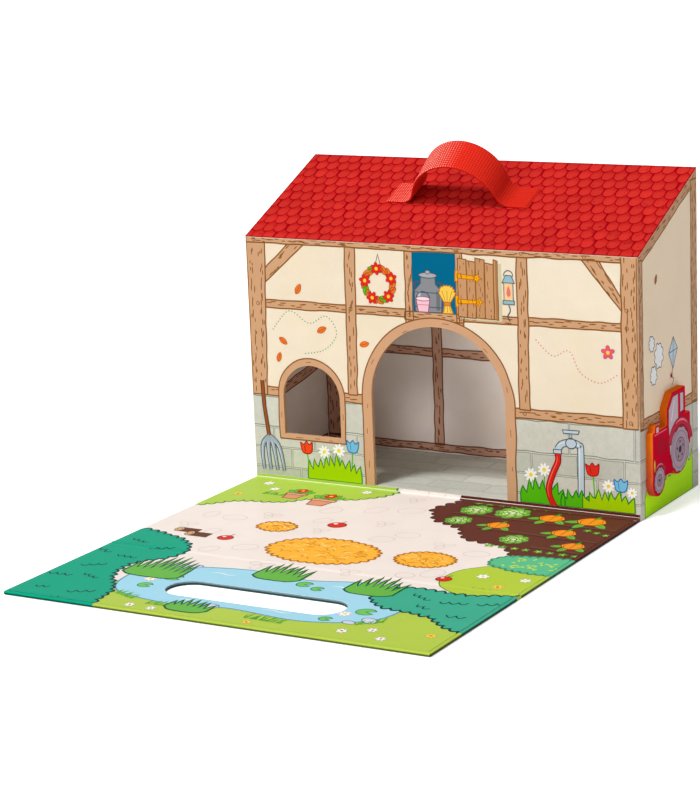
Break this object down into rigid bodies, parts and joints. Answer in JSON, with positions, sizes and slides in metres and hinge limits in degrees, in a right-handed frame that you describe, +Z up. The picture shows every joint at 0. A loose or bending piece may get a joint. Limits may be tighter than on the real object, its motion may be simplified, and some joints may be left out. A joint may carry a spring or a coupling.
{
  "type": "toy barn",
  "caption": "Toy barn of paper-covered greyboard with an arched doorway and window, a webbing handle, and a play board that folds up over its front and roof.",
  "frame": {"origin": "centre of the barn's footprint, on the face it stands on", "axes": "+X to the right seen from the front, +Y from the front wall to the back wall, +Z up"},
  "size_m": [0.3052, 0.4, 0.2404],
  "materials": {
    "greyboard": "matte",
    "wall_print": "semi-matte printed paper",
    "roof_print": "semi-matte printed paper",
    "lining_print": "semi-matte printed paper",
    "floor_print": "semi-matte printed paper",
    "board_print": "satin printed paper",
    "board_wrap": "satin printed paper",
    "hinge_print": "satin printed paper",
    "webbing": "woven",
    "pad_board": "matte",
    "stained_wood": "satin"
  },
  "bodies": {
    "barn": {"base_board": "greyboard", "floor_board": "greyboard", "floor_lining": "floor_print", "front_wall": "greyboard", "back_wall": "greyboard", "left_wall": "greyboard", "right_wall": "greyboard", "roof_board": "greyboard", "wall_wrap": "wall_print", "roof_sheet": "roof_print", "front_lining": "lining_print", "back_lining": "lining_print", "left_lining": "lining_print", "right_lining": "lining_print", "roof_lining": "lining_print", "handle_strap": "webbing", "handle_anchor_left": "pad_board", "handle_anchor_right": "pad_board", "tractor_plaque": "stained_wood", "wall_hinge_strip": "hinge_print"},
    "inner_board": {"inner_panel_board": "board_wrap", "inner_panel_sheet": "board_print", "inner_hinge_strip_rear": "hinge_print", "inner_hinge_strip_front": "hinge_print"},
    "outer_board": {"outer_panel_board": "board_wrap", "outer_panel_sheet": "board_print", "outer_hinge_strip": "hinge_print"}
  },
  "joints": [
    {"name": "inner_board_fold", "type": "hinge", "parent": "barn", "child": "inner_board", "pos_m": [0, -0.0539, 0], "axis": [-1, 0, 0], "range_deg": [0, 90]},
    {"name": "outer_board_fold", "type": "hinge", "parent": "inner_board", "child": "outer_board", "pos_m": [0, -0.23482, 0], "axis": [-1, 0, 0], "range_deg": [0, 66.19]}
  ]
}
